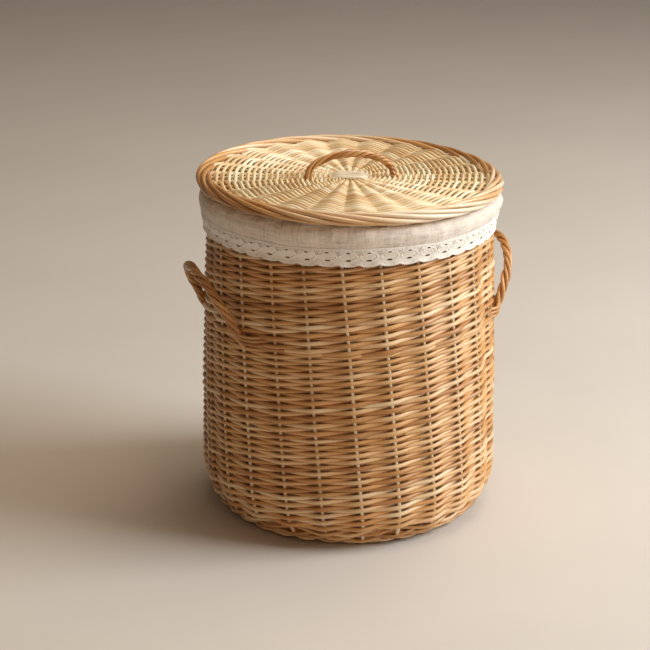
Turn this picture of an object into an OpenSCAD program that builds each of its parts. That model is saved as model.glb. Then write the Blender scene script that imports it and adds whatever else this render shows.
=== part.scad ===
// Round lidded laundry basket woven from willow, with a linen liner.
// Millimetres, +Z up. The origin is on the floor at the middle of the base.
// The two side handles lie on the X axis.

/* [Overall size] */
// Outside diameter of the lid
lid_d = 400; // [340:10:460]
// Height of the lid's top face above the floor
lid_top_h = 454; // [400:2:520]
// Greatest outside diameter of the woven side
belly_d = 396; // [336:2:456]
// Outside diameter of the woven side at its rim
rim_d = 376; // [320:2:436]
// Outside diameter where the side turns under to the floor
foot_d = 316; // [260:2:380]
// Height at which the rounded foot meets the side
corner_h = 70; // [50:5:90]

/* [Weaving] */
// Number of side stakes, and of ribs in the base and in the lid
stakes = 24; // [16:4:32]
// Diameter of a side stake
stake_d = 5.4; // [4.5:0.1:5.6]
// Angle that each stake leans round the basket over its height, in degrees
stake_lean = 9.3; // [0:0.1:12]
// Height of two rows of weaving in the lower and middle bands
row_h = 9; // [6:0.5:11]
// Thickness of the woven side outside its stakes
weave_t = 6; // [5.5:0.1:7]
// Height at which the lower band ends and the middle band starts
lower_top = 162; // [140:1:180]
// Height at which the middle band ends and the upper band starts
middle_top = 271; // [240:1:300]

/* [Rim, liner and lace] */
// Diameter of the rolled rim border's cross-section
rim_roll = 15; // [12:1:15]
// Thickness of the liner cloth with its gathers
cloth_t = 1.4; // [1:0.1:1.6]
// Depth of the folded cuff below the rim
cuff_drop = 30; // [24:1:40]
// Depth of the lace band below the cuff
lace_drop = 25; // [15:1:32]

/* [Lid] */
// Thickness of the lid at its border
lid_t = 17; // [15:1:22]
// Width of the lid's rolled border
lid_border_w = 21; // [18:1:26]
// Thickness of the lid's woven disc above its ribs
lid_weave_t = 4.5; // [4:0.5:5]
// Diameter of a rib in the lid or in the base
rib_d = 4.4; // [3.6:0.2:4.6]
// Width of the lid's handle between the middles of its feet
lid_handle_w = 112; // [100:1:140]
// Height of the lid's handle above the lid, to the middle of the rope
lid_handle_h = 25; // [22:1:50]
// Angle of the lid's handle about the lid's middle, in degrees
lid_handle_turn = -8.5; // [-30:0.5:30]
// How far the lid's handle stands from the middle of the lid
lid_handle_off = 6; // [0:1:20]
// Thickness of the lid handle's twisted rope
lid_rope_d = 10; // [8:0.5:12]

/* [Side handles] */
// Thickness of a side handle's twisted rope
side_rope_d = 12; // [11:0.5:16]
// Half of the angle between a side handle's two feet, in degrees
side_spread = 24; // [18:1:25]
// Height of a side handle's feet above the floor
side_foot_h = 274; // [240:1:300]
// Height of a side handle's loop above its feet
side_rise = 72; // [72:1:100]
// Lean of a side handle away from the basket, in degrees
side_tilt = 27.4; // [24:0.1:32]

/* [Hidden] */
$fn = 96;
eps = 0.01;
gap = 0.3;
rod_fn = 24;
rod_sides = 8;
step_angle = 360 / stakes;

belly_r = belly_d / 2;
rim_r = rim_d / 2;
foot_r = foot_d / 2;
lid_r = lid_d / 2;

lid_z = lid_top_h - lid_t;
cuff_top = lid_z - gap;
rim_top = cuff_top - cloth_t - gap;
rim_low = rim_top - rim_roll;
wall_top = rim_low - gap;
cuff_low = rim_top - cuff_drop;
lace_low = cuff_low - lace_drop;

corner_steps = 9;
corner_start = 22;
base_weave_z = 1.2;
base_weave_t = 4.5;
base_rib_z = base_weave_z + base_weave_t + gap + rib_d / 2;
slath_pitch = rib_d + 2 * gap;
slath_half = stakes / 8 * slath_pitch;
base_rib_r = foot_r - 8;

stake_in = weave_t + gap / 2 + stake_d / 2;
liner_in = weave_t + stake_d + 2 * gap;
stake_knots = [30, 50, 70, 110, 180, 260, 340, wall_top - 1];
stake_turn = 6.7;
stake_turn_z = 380;
lid_turn = -24;
liner_floor_z = base_rib_z + rib_d * 1.5 + 2 * gap + 1;
liner_side_low = 40;

willow = "#c9995c";
dark_willow = "#a8662f";
pale_willow = "#e0bf86";
linen = "#d6cabb";
lace = "#e6ddd0";

// Outside radius of the woven side at height z
function wall_r(z) =
  z < corner_h
  ? foot_r + (belly_r - foot_r) * sqrt(1 - pow(1 - z / corner_h, 2))
  : belly_r - (belly_r - rim_r) * pow((z - corner_h) / (wall_top - corner_h), 1.5);

// Point on the rounded foot at angle a, moved in by d along the normal
function corner_pt(a, d) =
  let (
    w = belly_r - foot_r,
    nx = sin(a) / w,
    nz = -cos(a) / corner_h,
    n = norm([nx, nz])
  )
  [foot_r + w * sin(a) - d * nx / n, corner_h * (1 - cos(a)) - d * nz / n];

// Angle on the rounded foot that stands at height z
function corner_a(z) = acos(1 - z / corner_h);

// Points of the side's face between two heights, d inside its outer face
function side_pts(z0, z1, d, n) =
  [for (i = [0 : n]) let (z = z0 + (z1 - z0) * i / n) [wall_r(z) - d, z]];

function corner_pts(a0, a1, d, n) = [for (i = [0 : n]) corner_pt(a0 + (a1 - a0) * i / n, d)];

function reversed(p) = [for (i = [len(p) - 1 : -1 : 0]) p[i]];

// Outer face of a band with one rounded ridge for each two rows of weaving
function ridge_pts(z0, z1) =
  let (rows = round((z1 - z0) / row_h), h = (z1 - z0) / rows, bulge = 0.9, steps = 4)
  [
    for (i = [0 : rows - 1], j = [0 : steps])
      if (j < steps || i == rows - 1)
        let (z = z0 + h * (i + j / steps))
        [wall_r(z) - bulge * (1 - sin(180 * j / steps)), z]
  ];

// One band of weaving between two heights
module band(z0, z1) {
  rotate_extrude()
    polygon(concat(ridge_pts(z0, z1), reversed(side_pts(z0, z1, weave_t, 6))));
}

// Direction of a run of points at point i
function run_dir(p, i) =
  let (
    a = p[max(i, 1)] - p[max(i - 1, 0)],
    b = p[min(i + 1, len(p) - 1)] - p[min(i, len(p) - 2)],
    v = a / norm(a) + b / norm(b)
  )
  v / norm(v);

// Corners of the ring at point i, square to the run and starting across ref
function ring_pts(p, i, d, ref) =
  let (t = run_dir(p, i), c = cross(t, ref), u = c / norm(c), v = cross(t, u))
  [for (j = [0 : rod_sides - 1]) let (a = 360 * j / rod_sides) p[i] + d / 2 * (cos(a) * u + sin(a) * v)];

// A bent rod through a list of points, with ref roughly across its run
module bent_rod(p, d, ref) {
  m = rod_sides;
  n = len(p);
  points = [for (i = [0 : n - 1], q = ring_pts(p, i, d, ref)) q];
  sides = [
    for (i = [0 : n - 2], j = [0 : m - 1])
      let (k = (j + 1) % m)
      [i * m + j, (i + 1) * m + j, (i + 1) * m + k, i * m + k]
  ];
  first = [for (j = [0 : m - 1]) j];
  last = [for (j = [m - 1 : -1 : 0]) (n - 1) * m + j];
  polyhedron(points, concat([first], sides, [last]));
}

// Six rods side by side in the middle, whose ends fan out to even angles
module stick_bundle(z_mid, z_end, reach, turn) {
  count = stakes / 4;
  rotate([0, 0, turn])
    for (i = [0 : count - 1]) {
      y = (i - (count - 1) / 2) * slath_pitch;
      a = (i - (count - 1) / 2) * step_angle;
      inner = slath_half + 2;
      bent_rod([
        [-reach * cos(a), reach * sin(a), z_end],
        [-inner, y, z_mid],
        [inner, y, z_mid],
        [reach * cos(a), reach * sin(a), z_end]
      ], rib_d, [0, 0, 1]);
    }
}

module base_through_sticks() {
  color(pale_willow)
    stick_bundle(base_rib_z, base_rib_z, base_rib_r, stake_turn);
}

module base_split_sticks() {
  color(pale_willow)
    stick_bundle(base_rib_z + rib_d + gap, base_rib_z, base_rib_r, stake_turn + 90);
}

module base_weave() {
  color(willow)
    translate([0, 0, base_weave_z])
      cylinder(r = foot_r - 4, h = base_weave_t);
}

// Rounded foot of the side, woven in thick rods
module foot_wale() {
  a0 = 0;
  a1 = corner_a(corner_start);
  color(dark_willow)
    rotate_extrude()
      polygon(concat(
        [[foot_r - 3.5, 0]],
        corner_pts(a0, a1, 0, corner_steps),
        reversed(corner_pts(a0 + 30, a1, weave_t, corner_steps)),
        [[foot_r - 3.5, weave_t]]
      ));
}

// Lower band: the upper part of the rounded foot and the side above it
module weave_lower() {
  a1 = corner_a(corner_start) + 0.4;
  color(willow)
    rotate_extrude()
      polygon(concat(
        corner_pts(a1, 90, 0, corner_steps),
        ridge_pts(corner_h + row_h, lower_top),
        reversed(side_pts(corner_h + row_h, lower_top, weave_t, 4)),
        reversed(corner_pts(a1, 90, weave_t, corner_steps))
      ));
}

module weave_middle() {
  color(willow)
    band(lower_top + gap, middle_top);
}

module weave_upper() {
  color(willow)
    band(middle_top + gap, wall_top);
}

// Centre of a side stake at height z
function stake_pt(k, z) =
  let (
    a = k * step_angle + stake_turn + stake_lean * (stake_turn_z - z) / stake_turn_z,
    r = wall_r(z) - stake_in
  )
  [r * cos(a), r * sin(a), z];

module side_stakes() {
  color(pale_willow)
    for (k = [0 : stakes - 1])
      bent_rod([for (z = stake_knots) stake_pt(k, z)], stake_d, [-sin(k * step_angle), cos(k * step_angle), 0]);
}

module rim_border() {
  color(dark_willow)
    translate([0, 0, rim_low + rim_roll / 2])
      rotate_extrude()
        translate([rim_r - rim_roll / 2 + 0.5, 0])
          circle(d = rim_roll, $fn = 48);
}

// Round panel of cloth at the bottom of the liner
module liner_floor() {
  color(linen)
    translate([0, 0, liner_floor_z])
      cylinder(r = wall_r(liner_side_low) - liner_in - cloth_t - 9, h = cloth_t);
}

// Tube of cloth that lines the inside of the side, up to the rim
module liner_side() {
  z1 = rim_low - gap;
  inside = liner_in + cloth_t;
  neck_r = rim_r - rim_roll - gap;
  foot_in_r = wall_r(liner_side_low) - inside - 9 + gap;
  color(linen)
    rotate_extrude()
      polygon(concat(
        [[foot_in_r, liner_floor_z], [foot_in_r + cloth_t, liner_floor_z]],
        side_pts(liner_side_low, z1, liner_in, 8),
        [[neck_r, rim_low + 3], [neck_r, rim_top]],
        [[neck_r - cloth_t, rim_top], [neck_r - cloth_t, rim_low + 3]],
        reversed(side_pts(liner_side_low, z1, inside, 8))
      ));
}

// Cloth folded over the rim and hanging outside it
module liner_cuff() {
  in_r = rim_r - rim_roll - gap - cloth_t;
  out_r = rim_r + 4;
  fold = 4;
  color(linen)
    rotate_extrude()
      polygon([
        [in_r, rim_top + gap / 2],
        [out_r, rim_top + gap / 2],
        [out_r, rim_low],
        [wall_r(cuff_low) + 0.8, cuff_low],
        [wall_r(cuff_low) + 0.8 + 2 * cloth_t, cuff_low],
        [out_r + 2 * cloth_t + 1, rim_low + rim_roll / 3],
        [out_r + 2 * cloth_t, rim_top - fold],
        [out_r, cuff_top],
        [in_r + fold, cuff_top]
      ]);
}

module lace_trim() {
  color(lace)
    rotate_extrude()
      polygon([
        [wall_r(lace_low) + 0.8, lace_low],
        [wall_r(lace_low) + 2.4, lace_low],
        [wall_r(cuff_low) + 2.8, cuff_low - eps],
        [wall_r(cuff_low) + 0.8, cuff_low - eps]
      ]);
}

// Rope loop in its own plane: two straight legs and a round arch
module rope_arch(w, h, d) {
  leg = h - w / 2;
  translate([0, 0, leg])
    rotate([90, 0, 0])
      rotate_extrude(angle = 180)
        translate([w / 2, 0])
          circle(d = d, $fn = rod_fn);
  for (s = [-1, 1])
    translate([s * w / 2, 0, 0])
      cylinder(d = d, h = leg + eps, $fn = rod_fn);
}

module side_handle() {
  foot_wall_r = wall_r(side_foot_h);
  w = 2 * foot_wall_r * sin(side_spread);
  chord = foot_wall_r * cos(side_spread);
  dip = 14;
  difference() {
    translate([chord, 0, side_foot_h])
      rotate([0, side_tilt, 0])
        translate([0, 0, -dip])
          rotate([0, 0, 90])
            rope_arch(w, side_rise / cos(side_tilt) + dip, side_rope_d);
    rotate_extrude()
      polygon(concat(
        [[0, side_foot_h - 60]],
        side_pts(side_foot_h - 60, wall_top, 0, 12),
        [[0, wall_top]]
      ));
  }
}

module side_handle_right() {
  color(dark_willow)
    side_handle();
}

module side_handle_left() {
  color(dark_willow)
    rotate([0, 0, 180])
      side_handle();
}

lid_rib_r = lid_r - lid_border_w - gap;
lid_weave_z = lid_top_h - 3 - lid_weave_t;
lid_rib_z = lid_weave_z - gap - rib_d / 2;

module lid_through_sticks() {
  color(pale_willow)
    stick_bundle(lid_rib_z - rib_d - gap, lid_rib_z, lid_rib_r, lid_turn + 90);
}

module lid_split_sticks() {
  color(pale_willow)
    stick_bundle(lid_rib_z, lid_rib_z, lid_rib_r, lid_turn);
}

// Woven disc with one rounded ridge for each two rows of weaving
module lid_weave() {
  out_r = lid_r - lid_border_w;
  rows = round(out_r / row_h);
  w = out_r / rows;
  bulge = 0.9;
  steps = 4;
  top = lid_weave_z + lid_weave_t;
  color(willow)
    rotate_extrude()
      polygon(concat(
        [[0, lid_weave_z], [out_r, lid_weave_z]],
        [
          for (i = [rows - 1 : -1 : 0], j = [steps : -1 : 1])
            [w * (i + j / steps), top - bulge * (1 - sin(180 * j / steps))]
        ],
        [[0, top - bulge]]
      ));
}

// Thick border of rods rolled round the lid's edge
module lid_border() {
  in_r = lid_r - lid_border_w + gap / 2;
  round_r = lid_t / 2;
  color(dark_willow)
    translate([0, 0, lid_z])
      rotate_extrude() {
        translate([lid_r - round_r, round_r])
          circle(r = round_r, $fn = 48);
        translate([in_r, 0])
          square([lid_r - round_r - in_r, lid_t]);
      }
}

// Twisted rope handle that straddles the middle of the lid
module lid_handle() {
  top = lid_weave_z + lid_weave_t;
  span = lid_handle_w / 2;
  rise = lid_top_h + lid_handle_h - top;
  arc_r = (span * span + rise * rise) / (2 * rise);
  half = asin(span / arc_r);
  dip = 10;
  color(dark_willow)
    rotate([0, 0, lid_handle_turn])
      translate([0, -lid_handle_off, 0])
        difference() {
          translate([0, 0, top + rise - arc_r])
            rotate([90, 0, 0])
              rotate([0, 0, 90 - half - dip])
                rotate_extrude(angle = 2 * (half + dip))
                  translate([arc_r, 0])
                    circle(d = lid_rope_d, $fn = rod_fn);
          translate([-lid_handle_w, -lid_rope_d, top - 4 * lid_rope_d])
            cube([2 * lid_handle_w, 2 * lid_rope_d, 4 * lid_rope_d]);
        }
}

base_through_sticks();
base_split_sticks();
base_weave();
side_stakes();
foot_wale();
weave_lower();
weave_middle();
weave_upper();
rim_border();
liner_floor();
liner_side();
liner_cuff();
lace_trim();
side_handle_left();
side_handle_right();
lid_through_sticks();
lid_split_sticks();
lid_weave();
lid_border();
lid_handle();
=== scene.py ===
"""Woven laundry basket: the looks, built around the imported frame."""

import math

import bpy
import numpy as np
from bpy.props import FloatProperty, FloatVectorProperty, IntProperty, PointerProperty
from mathutils import Matrix, Vector


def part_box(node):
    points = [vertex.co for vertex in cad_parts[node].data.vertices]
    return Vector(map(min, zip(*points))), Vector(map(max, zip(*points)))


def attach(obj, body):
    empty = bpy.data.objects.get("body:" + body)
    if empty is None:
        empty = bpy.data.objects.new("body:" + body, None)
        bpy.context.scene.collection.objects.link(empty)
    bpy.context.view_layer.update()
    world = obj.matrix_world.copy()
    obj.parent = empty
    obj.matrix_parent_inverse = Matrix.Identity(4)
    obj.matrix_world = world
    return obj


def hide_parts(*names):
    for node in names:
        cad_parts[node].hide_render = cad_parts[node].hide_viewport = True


bl_info = {
    "name": "Woven laundry basket",
    "version": (1, 0, 0),
    "blender": (4, 5, 0),
    "location": "View3D > Sidebar > Basket",
    "description": "Builds a lidded willow laundry basket with a linen liner around its CAD frame",
    "category": "Add Mesh",
}

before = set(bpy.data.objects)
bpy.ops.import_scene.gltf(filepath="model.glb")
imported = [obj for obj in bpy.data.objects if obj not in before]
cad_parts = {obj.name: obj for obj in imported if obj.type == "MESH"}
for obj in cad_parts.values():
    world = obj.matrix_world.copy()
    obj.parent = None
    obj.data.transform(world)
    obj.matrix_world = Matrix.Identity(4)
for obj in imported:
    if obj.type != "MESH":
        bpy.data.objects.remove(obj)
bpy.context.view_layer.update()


def heights(node):
    """Lowest and highest point of a CAD node."""
    low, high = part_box(node)
    return low.z, high.z


# Heights and radii, in metres
FOOT_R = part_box("base_weave")[1].x + 0.004
BELLY_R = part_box("weave_lower")[1].x
CORNER_H = 0.070
CORNER_START = heights("foot_wale")[1]
BAND_TOPS = [heights(band)[1] for band in ("weave_lower", "weave_middle", "weave_upper")]
WALL_TOP = BAND_TOPS[-1]
RIM_R = 0.188
RIM_LOW, RIM_TOP = heights("rim_border")
CUFF_LOW, CUFF_TOP = heights("liner_cuff")
LID_LOW, LID_TOP = heights("lid_border")
LID_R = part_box("lid_border")[1].x
LID_BORDER_W = 0.021

STAKES = 24
TURN = 2 * math.pi
STEP = TURN / STAKES
STAKE_TURN = math.radians(6.7)
STAKE_LEAN = math.radians(9.3)
LEAN_Z = 0.380
LID_TURN = math.radians(-24)
LID_RIB_TURN = LID_TURN + STEP / 2
LID_TILT = math.radians(1.2)
LID_LIFT = 0.0012
# The direction on the camera's right. The camera itself stands a quarter turn before it
CAMERA_TURN = math.radians(-20)
CAMERA_RIGHT = Vector((math.cos(CAMERA_TURN), math.sin(CAMERA_TURN), 0))
CAMERA_BACK = Vector((-math.sin(CAMERA_TURN), math.cos(CAMERA_TURN), 0))

MM = 0.001
NO_TRIS = np.zeros((0, 3), int)


# --------------------------------------------------------------------------------------
# Mesh making


def unit(v):
    """Directions of length one."""
    return v / np.maximum(np.linalg.norm(v, axis=-1, keepdims=True), 1e-12)


def smooth(x, low=0.0, high=1.0):
    """0 below low, 1 above high and a smooth step between them."""
    t = np.clip((x - low) / (high - low), 0.0, 1.0)
    return t * t * (3 - 2 * t)


def wobble(x, seed, terms=5, longest=1.0):
    """A smooth random curve over x, from about -1 to 1."""
    rng = np.random.RandomState(seed)
    total = np.zeros_like(np.asarray(x, float))
    for i in range(terms):
        total += rng.uniform(0.5, 1) * np.sin(x * (i + 1) * 2 * math.pi / longest + rng.uniform(0, 6.28)) / (i + 1)
    return total / 1.6


def around_axis(r, angle, z):
    """Points at a radius, an angle and a height."""
    r, angle, z = np.broadcast_arrays(r, angle, z)
    return np.stack([r * np.cos(angle), r * np.sin(angle), z], -1)


def spun(x, y, z, turn):
    """Points turned about the upright axis."""
    c, s = math.cos(turn), math.sin(turn)
    return np.stack([x * c - y * s, x * s + y * c, z], -1)


class Bundle:
    """Round rods gathered as one mesh. Each point knows where it lies along and across its rod."""

    def __init__(self, seed):
        self.rng = np.random.RandomState(seed)
        self.points, self.quads, self.tris, self.grain, self.finish = [], [], [], [], []
        self.count = 0

    def add(self, line, radius, out, sides=8, tone=None):
        """One rod along line. out is roughly the direction of its outer side."""
        line = np.asarray(line, float)
        m = len(line)
        radius = np.broadcast_to(np.asarray(radius, float), (m,))
        out = np.broadcast_to(np.asarray(out, float), (m, 3))
        tone = self.rng.uniform() if tone is None else tone
        warm = self.rng.uniform()
        along = unit(np.gradient(line, axis=0))
        across = unit(np.cross(along, out))
        up = np.cross(across, along)
        a = np.arange(sides) * 2 * math.pi / sides
        ring = up[:, None, :] * np.sin(a)[None, :, None] + across[:, None, :] * np.cos(a)[None, :, None]
        body = (line[:, None, :] + ring * radius[:, None, None]).reshape(-1, 3)
        run = np.r_[0, np.cumsum(np.linalg.norm(np.diff(line, axis=0), axis=1))]
        shift = self.rng.uniform(0, 50)
        grain = np.empty((m, sides, 3))
        grain[..., 0] = run[:, None] + shift
        grain[..., 1] = radius[:, None] * np.cos(a)[None, :]
        grain[..., 2] = radius[:, None] * np.sin(a)[None, :] + shift
        self._put(body, grid_quads(m, sides), NO_TRIS, grain.reshape(-1, 3), (tone, warm, 0.0))
        for end, sign in ((0, -1), (m - 1, 1)):
            rim = body.reshape(m, sides, 3)[end]
            middle = line[end] + sign * along[end] * radius[end] * 0.25
            tri = cap_tris(sides)[:, ::sign]
            cap_grain = np.r_[grain[end], [grain[end].mean(0)]]
            self._put(np.r_[rim, [middle]], np.zeros((0, 4), int), tri, cap_grain, (tone, warm, 1.0))

    def _put(self, points, quads, tris, grain, finish):
        self.points.append(points)
        self.quads.append(quads + self.count)
        self.tris.append(tris + self.count)
        self.grain.append(grain)
        self.finish.append(np.tile(finish, (len(points), 1)))
        self.count += len(points)

    def build(self, name, material):
        """The mesh object of all the rods so far."""
        return mesh_object(
            name,
            np.concatenate(self.points),
            np.concatenate(self.quads),
            np.concatenate(self.tris),
            {"grain": np.concatenate(self.grain), "finish": np.concatenate(self.finish)},
            material,
        )


def mesh_object(name, points, quads, tris, vectors, material):
    """A smooth-shaded mesh object with three-number attributes on its points."""
    mesh = bpy.data.meshes.new(name)
    mesh.from_pydata(points.tolist(), [], quads.tolist() + tris.tolist())
    for key, values in vectors.items():
        layer = mesh.attributes.new(key, "FLOAT_VECTOR", "POINT")
        layer.data.foreach_set("vector", values.astype(np.float32).ravel())
    mesh.polygons.foreach_set("use_smooth", [True] * len(mesh.polygons))
    mesh.materials.append(material)
    mesh.update()
    obj = bpy.data.objects.new(name, mesh)
    bpy.context.scene.collection.objects.link(obj)
    return obj


def grid_quads(rows, columns):
    """Faces of a grid of points, rows first, whose last column joins its first."""
    i, j = np.meshgrid(np.arange(rows - 1), np.arange(columns), indexing="ij")
    k = (j + 1) % columns
    corners = [i * columns + j, i * columns + k, (i + 1) * columns + k, (i + 1) * columns + j]
    return np.stack(corners, -1).reshape(-1, 4)


def cap_tris(count):
    """Faces that join a ring of points to the middle point after them."""
    j = np.arange(count)
    return np.stack([j, (j + 1) % count, np.full(count, count)], -1)


def belong(obj, body, node):
    """The piece is named after a CAD node and stands for it, moves with a body, and the node is hidden."""
    obj.name = node + "_detail"
    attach(obj, body)
    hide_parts(node)


# --------------------------------------------------------------------------------------
# The basket's own surfaces


class Wall:
    """Outer face of the woven side, from the floor up the rounded foot to the rim."""

    def __init__(self):
        a = np.linspace(0, math.pi / 2, 120)
        z = np.linspace(CORNER_H, WALL_TOP + 0.02, 400)[1:]
        share = np.clip((z - CORNER_H) / (WALL_TOP - CORNER_H), 0, None)
        self.r = np.r_[FOOT_R + (BELLY_R - FOOT_R) * np.sin(a), BELLY_R - (BELLY_R - RIM_R) * share**1.5]
        self.z = np.r_[CORNER_H * (1 - np.cos(a)), z]
        self.s = np.r_[0, np.cumsum(np.hypot(np.diff(self.r), np.diff(self.z)))]
        dr, dz = np.gradient(self.r, self.s), np.gradient(self.z, self.s)
        size = np.hypot(dr, dz)
        self.nr, self.nz = dz / size, -dr / size

    def run_at(self, z):
        """Distance up the face at height z."""
        return np.interp(z, self.z, self.s)

    def radius_at(self, z):
        """Outer radius at height z."""
        return np.interp(z, self.z, self.r)

    def place(self, angle, s, lift):
        """Points at an angle and a distance up the face, lifted off it, with the outward directions."""
        r, z = np.interp(s, self.s, self.r), np.interp(s, self.s, self.z)
        nr, nz = np.interp(s, self.s, self.nr), np.interp(s, self.s, self.nz)
        r, z = r + lift * nr, z + lift * nz
        return around_axis(r, angle, z), around_axis(nr, angle, nz)


WALL = Wall()


class Disc:
    """A flat woven disc at one height, whose outer side faces up (1) or down (-1)."""

    def __init__(self, z, facing):
        self.z, self.facing = z, facing

    def place(self, angle, s, lift):
        """Points at an angle and a distance from the middle, lifted off the disc."""
        points = around_axis(s, angle, self.z + self.facing * lift)
        return points, np.broadcast_to((0.0, 0.0, self.facing), points.shape)


_uneven = np.random.RandomState(5).uniform(-0.010, 0.010, STAKES)
STAKE_UNEVEN = np.r_[_uneven, _uneven[:1]]


def stake_angle(k, z):
    """Angle of side stake k at height z, for a k that may lie between two stakes."""
    uneven = np.interp(np.mod(k, STAKES), np.arange(STAKES + 1), STAKE_UNEVEN)
    return k * STEP + STAKE_TURN + STAKE_LEAN * (LEAN_Z - z) / LEAN_Z + uneven


# A rod starts behind a stake and stops just past its last one. Both lie at the same place
# between two stakes, so that the steps at the top of one band fit those at the foot of the next
RANDING_START, RANDING_END = -0.7, 0.3


def weave_swing(n):
    """1 in front of a stake, -1 behind the next, nearly straight between them."""
    return 0.89 * np.cos(math.pi * n) + 0.11 * np.cos(3 * math.pi * n)


def randing(bundle, place, angle_at, low, thick, steps, core, sides, per_step, uneven=0.0, inner=1.0, plump=1.11):
    """French randing. Each of the rods passes over one stake and behind the next, and climbs one rod at each step.

    thick is the rod at its butt and at its tip, and core is half of what it passes over. uneven is how far the rows
    rise and fall. inner is how far a rod swings behind a stake as a share of its swing in front, and plump its
    thickness as a share of its row.
    """
    first, last = RANDING_START, steps + RANDING_END
    n = np.linspace(first, last, int((last - first) * per_step) + 1)
    share = np.clip(n / steps, 0, 1)
    rod = thick[0] + (thick[1] - thick[0]) * share
    climb = np.where(n < 0, thick[0] * n, thick[0] * n + (thick[1] - thick[0]) * n * share / 2)
    rng = bundle.rng
    for first_stake in range(STAKES):
        k = first_stake + n
        s = low + climb
        angle = angle_at(k, s)
        s = s + uneven * wobble(angle, 71, 4, TURN) + 0.25 * MM * wobble(n, rng.randint(9999), 4, 11.0)
        size = rod * (1 + rng.uniform(-0.07, 0.05) + 0.03 * wobble(n, rng.randint(9999), 3, 14.0))
        swing = weave_swing(n)
        lift = (core(s) + rod / 2) * np.where(swing < 0, inner * swing, swing)
        line, out = place(angle, s, lift)
        bundle.add(line, size * plump / 2, out, sides)


# --------------------------------------------------------------------------------------
# Shader wiring


class Wire:
    """One socket of a material's nodes. Sums on it add Math nodes."""

    def __init__(self, tree, socket=None):
        self.tree, self.socket = tree, socket

    def node(self, kind, settings=None, inputs=None, output=0):
        """Adds a shader node: its settings first, then the values or links of its sockets."""
        made = self.tree.nodes.new("ShaderNode" + kind)
        for key, value in (settings or {}).items():
            if key == "stops":
                ramp = made.color_ramp
                ramp.elements.remove(ramp.elements[1])
                ramp.elements[0].position, ramp.elements[0].color = value[0]
                for place, colour in value[1:]:
                    ramp.elements.new(place).color = colour
            else:
                setattr(made, key, value)
        for key, value in (inputs or {}).items():
            if isinstance(value, Wire):
                self.tree.links.new(value.socket, made.inputs[key])
            else:
                made.inputs[key].default_value = value
        return Wire(self.tree, made.outputs[output])

    def math(self, operation, *values):
        return self.node("Math", {"operation": operation}, dict(enumerate(values)))

    def __add__(self, other):
        return self.math("ADD", self, other)

    __radd__ = __add__

    def __mul__(self, other):
        return self.math("MULTIPLY", self, other)

    __rmul__ = __mul__

    def __sub__(self, other):
        return self.math("SUBTRACT", self, other)

    def __rsub__(self, other):
        return self.math("SUBTRACT", other, self)

    def between(self, low, high):
        """0 at low and 1 at high, smoothly."""
        return self.node(
            "MapRange",
            {"interpolation_type": "SMOOTHSTEP"},
            {"Value": self, "From Min": low, "From Max": high, "To Min": 0.0, "To Max": 1.0},
        )

    def stretched(self, x, y, z):
        """A vector socket with its three numbers scaled."""
        return self.node("VectorMath", {"operation": "MULTIPLY"}, {0: self, 1: (x, y, z)})

    def noise(self, scale=1.0, detail=2.0, rough=0.5):
        """Noise over this vector socket."""
        return self.node("TexNoise", None, {"Vector": self, "Scale": scale, "Detail": detail, "Roughness": rough})

    def part(self, axis):
        """One number of this vector socket."""
        return self.node("SeparateXYZ", None, {0: self}, axis)

    def ramp(self, *stops):
        """A colour for this value. Each stop is a place and a colour."""
        return self.node("ValToRGB", {"stops": stops}, {"Fac": self})


def mixed(share, first, second, blend="MIX"):
    """Mixes two colours by a value socket."""
    settings = {"data_type": "RGBA", "blend_type": blend}
    return share.node("Mix", settings, {0: share, 6: first, 7: second}, 2)


# The finishes made so far, by name. They are kept here because the frame has materials of its own
FINISHES = {}


def new_finish(name, sockets):
    """An empty material with a Principled shader whose constant sockets are set. Gives it, its wires and the shader."""
    material = FINISHES[name] = bpy.data.materials.new(name)
    material.use_nodes = True
    shader = material.node_tree.nodes["Principled BSDF"]
    for key, value in sockets.items():
        shader.inputs[key].default_value = value
    return material, Wire(material.node_tree), shader


def feed(shader, **wires):
    """Links wires to the shader's sockets. Underscores stand for spaces."""
    for key, wire in wires.items():
        wire.tree.links.new(wire.socket, shader.inputs[key.replace("_", " ")])


def rgba(colour):
    return (*colour[:3], 1.0)


def scaled(colour, factor):
    return tuple(min(1.0, c * factor) for c in colour[:3]) + (1.0,)


def willow(name, pale, honey, brown, rough=0.42, coat=0.45, dark=0.0):
    """Varnished peeled willow. Each rod has its own tone, with streaks and stains along it."""
    if name in FINISHES:
        return FINISHES[name]
    varnish = {"Coat Weight": coat, "Coat Roughness": 0.3, "IOR": 1.5, "Specular IOR Level": 0.5}
    material, wire, shader = new_finish(name, varnish)
    grain = wire.node("Attribute", {"attribute_name": "grain"}, None, 1)
    finish = wire.node("Attribute", {"attribute_name": "finish"}, None, 1)
    tone, warm, cut = finish.part(0), finish.part(1), finish.part(2)
    streak = grain.stretched(30, 1500, 1500).noise(1.0, 3.0, 0.6)
    stain = grain.stretched(14, 90, 90).noise(1.0, 2.0, 0.5)
    speck = grain.stretched(220, 900, 900).noise(1.0, 2.0, 0.6)
    depth = tone * 0.46 + streak * 0.40 + stain * 0.50 + (dark - 0.19)
    colour = depth.ramp((0.12, rgba(pale)), (0.48, rgba(honey)), (0.86, rgba(brown)))
    ruddy = warm.between(0.35, 1.0) * 0.5
    colour = mixed(ruddy, colour, rgba((1.0, 0.80, 0.60)), "MULTIPLY")
    colour = mixed(speck.between(0.64, 0.78) * 0.35, colour, scaled(brown, 0.7))
    colour = mixed(cut, colour, scaled(pale, 1.05))
    roughness = streak * 0.22 + (rough - 0.11)
    bump = wire.node("Bump", None, {"Strength": 0.5, "Distance": 0.0003, "Height": streak + speck * 0.4})
    feed(shader, Base_Color=colour, Roughness=roughness, Normal=bump)
    return material


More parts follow.
